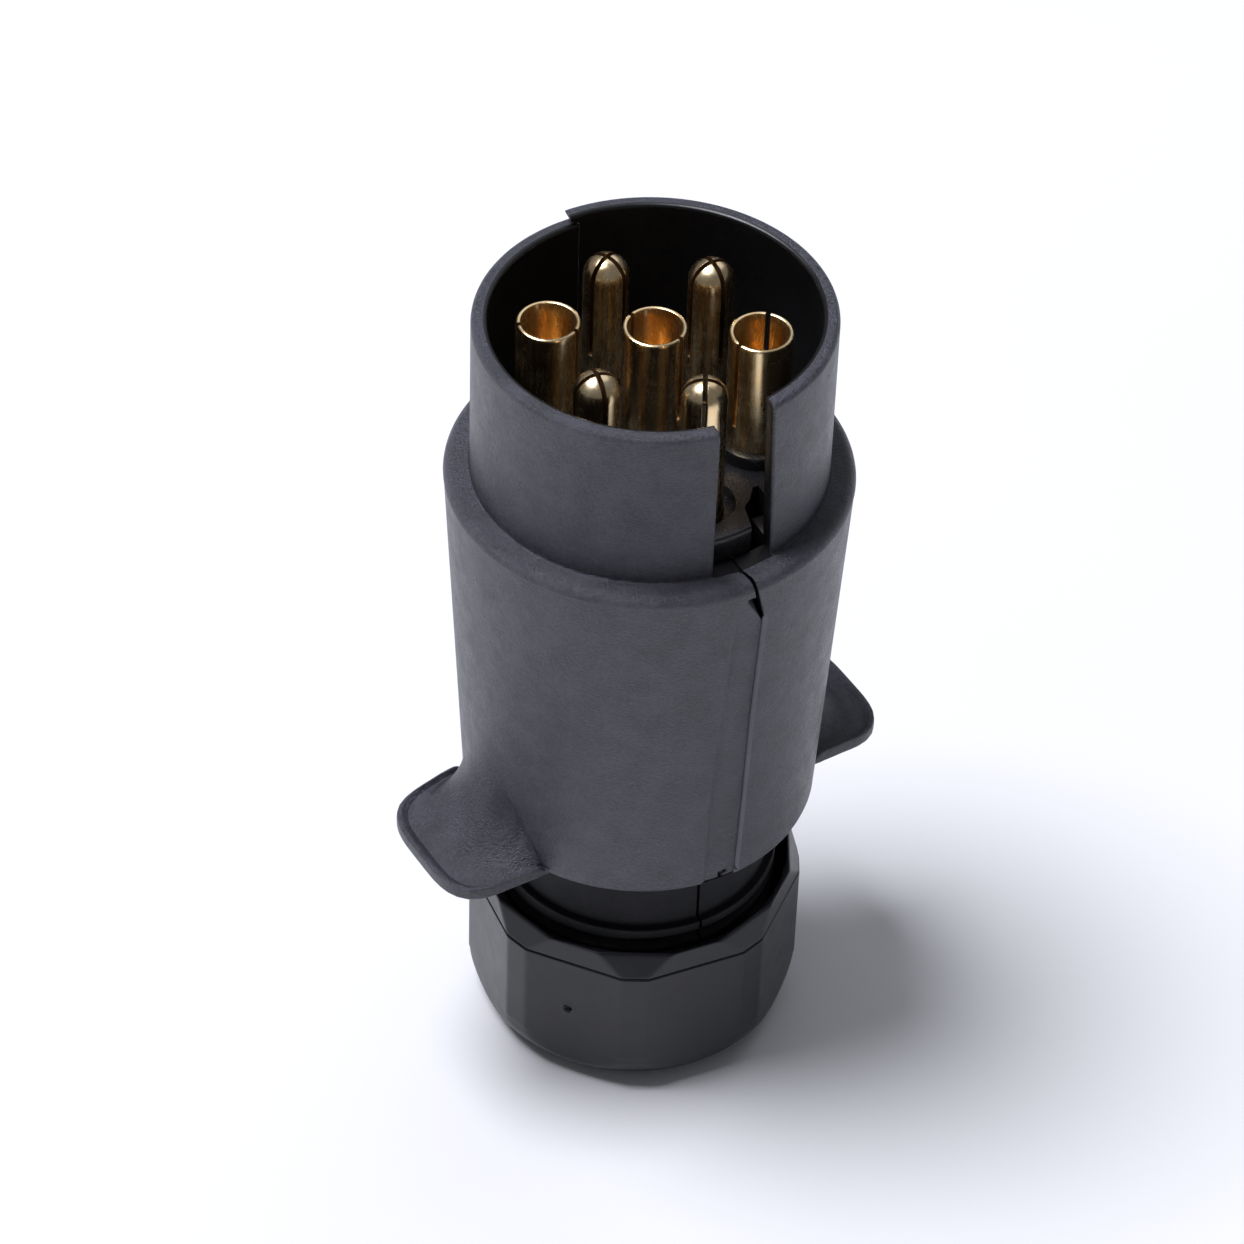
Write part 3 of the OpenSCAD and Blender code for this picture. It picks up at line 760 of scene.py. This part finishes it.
PINS = {"front": (-90, 62), "front_left": (-150, 84), "back": (90, 25), "back_right": (30, 4)}
TUBES = {"centre": (None, (-63, 116)), "right": (-30, (49, -164)), "left": (150, (164, -55))}
for nm, (ang, s) in PINS.items():
    x, y = PITCH * math.cos(math.radians(ang)), PITCH * math.sin(math.radians(ang))
    me = place(pin_mesh((s, s + 90)), x, y)
    o = add("pin_" + nm, me, pin_mat, "housing", ("pin_contact_" + nm,), 30)
    # the dark slot walls of the pins are painted shade
    paint_slot_shade(o, x, y, (s, s + 90))
for nm, (ang, ss) in TUBES.items():
    x, y = (0, 0) if ang is None else (PITCH * math.cos(math.radians(ang)), PITCH * math.sin(math.radians(ang)))
    me = place(tube_mesh(ss), x, y)
    o = add("tube_" + nm, me, brass_mat, "housing", ("socket_contact_" + nm,), 30)
    # the dark slot walls of the tubes are painted shade
    paint_slot_shade(o, x, y, ss)

# ---------------------------------------------------------------- contact carrier
def carrier_mesh():
    top = 88.8
    prof = [(0, 71.5), (16.9, 71.5), (17.1, 71.7), (17.1, 78.2), (20.1, 78.2), (20.3, 78.4), (20.3, 81.6), (20.1, 81.8), (18.75, 81.8), (18.6, 81.95)]
    prof += [(18.6, z) for z in (84, 86, 88)] + arc(18.2, top - 0.4, 0.4, 10, 90, 5) + [(17.0, top), (0, top)]
    base = rev(prof, 160)
    me = base
    ups, cuts = [], []
    for ang in (None, -30, 150):
        x, y = (0, 0) if ang is None else (PITCH * math.cos(math.radians(ang)), PITCH * math.sin(math.radians(ang)))
        b = rev([(0, top - 1), (4.65, top - 1)] + arc(4.40, top + 1.45, 0.25, 0, 90, 4) + [(3.7, top + 1.7), (0, top + 1.7)], 72)
        ups.append(place(b, x, y))
    me = combine(me, ups, "UNION")
    for ang in (-90, -150, 90, 30):
        x, y = PITCH * math.cos(math.radians(ang)), PITCH * math.sin(math.radians(ang))
        cuts.append(place(rev([(0, top - 1.4), (4.1, top - 1.4), (4.1, top + 1), (0, top + 1)], 72), x, y))
        cuts.append(place(rev([(0, 60), (2.70, 60), (2.70, 95), (0, 95)], 64), x, y))
        cuts.append(place(rev([(0, 60), (3.63, 60), (3.63, 73), (0, 73)], 64), x, y))
    for ang in (None, -30, 150):
        x, y = (0, 0) if ang is None else (PITCH * math.cos(math.radians(ang)), PITCH * math.sin(math.radians(ang)))
        cuts.append(place(rev([(0, 60), (3.73, 60), (3.73, 95), (0, 95)], 64), x, y))
    cuts.append(prism([(4.2, -14.9), (5.4, -14.0), (6.6, -12.4), (7.3, -12.4), (7.3, -22), (3.1, -22), (3.3, -18.4)], 79.8, 92))
    me = combine(me, cuts)
    return bevelled(me, 0.12, 2, 40)


add("carrier", carrier_mesh(), carrier_mat, "housing", ("contact_carrier",), 30)

# ---------------------------------------------------------------- carried-over solids
for nm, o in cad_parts.items():
    mat = steel_mat if nm.startswith("terminal_screw") or nm == "thrust_ring" else rubber_mat if nm == "cable_seal" else None
    if mat:
        o.data.materials.clear()
        o.data.materials.append(mat)
        for s_ in o.material_slots:
            s_.material = mat

# ---------------------------------------------------------------- floor and light
fm = Nodes("floor_white")
fm.to(fm.ramp(fm.noise(6, 2.0), [(0.3, (0.90, 0.90, 0.905)), (0.7, (0.93, 0.93, 0.935))]), "Base Color")
fm.put(Roughness=0.75, Specular_IOR_Level=0.2)
n_ = 96
fv = [(0, 0, 0)] + [(4000 * math.cos(2 * math.pi * i / n_), 4000 * math.sin(2 * math.pi * i / n_), 0) for i in range(n_)]
ft = [(0, 1 + i, 1 + (i + 1) % n_) for i in range(n_)]
fme = quads_mesh("floor", fv, [], ft)
fme.materials.append(fm.m)
floor = bpy.data.objects.new("floor", fme)
scene.collection.objects.link(floor)
floor.location.z = -0.00002

world = bpy.data.worlds.new("studio")
scene.world = world
world.use_nodes = True
bg = world.node_tree.nodes["Background"]
bg.inputs["Color"].default_value = (0.90, 0.93, 1.0, 1)
bg.inputs["Strength"].default_value = 0.150


def area(name, pos, size, power, color=(1, 1, 1), target=(0, 0, 0.05)):
    l = bpy.data.lights.new(name, "AREA")
    l.shape = "DISK"
    l.size, l.energy, l.color = size, power, color
    o = bpy.data.objects.new(name, l)
    scene.collection.objects.link(o)
    o.location = pos
    d = Vector(target) - Vector(pos)
    o.rotation_euler = d.to_track_quat("-Z", "Y").to_euler()
    return o


def at_sky(az, el, d):
    a1_, e1_ = math.radians(az), math.radians(el)
    return (d * math.cos(e1_) * math.cos(a1_), d * math.cos(e1_) * math.sin(a1_), d * math.sin(e1_))


# a soft key high on the left, a little behind the plug, and a wide weak fill from the far right
area("key", at_sky(145, 70, 1.8), 0.90, 33.0, (0.97, 0.98, 1.07))
area("fill", at_sky(40, 52, 1.6), 1.6, 4.0, (0.95, 0.98, 1.08))
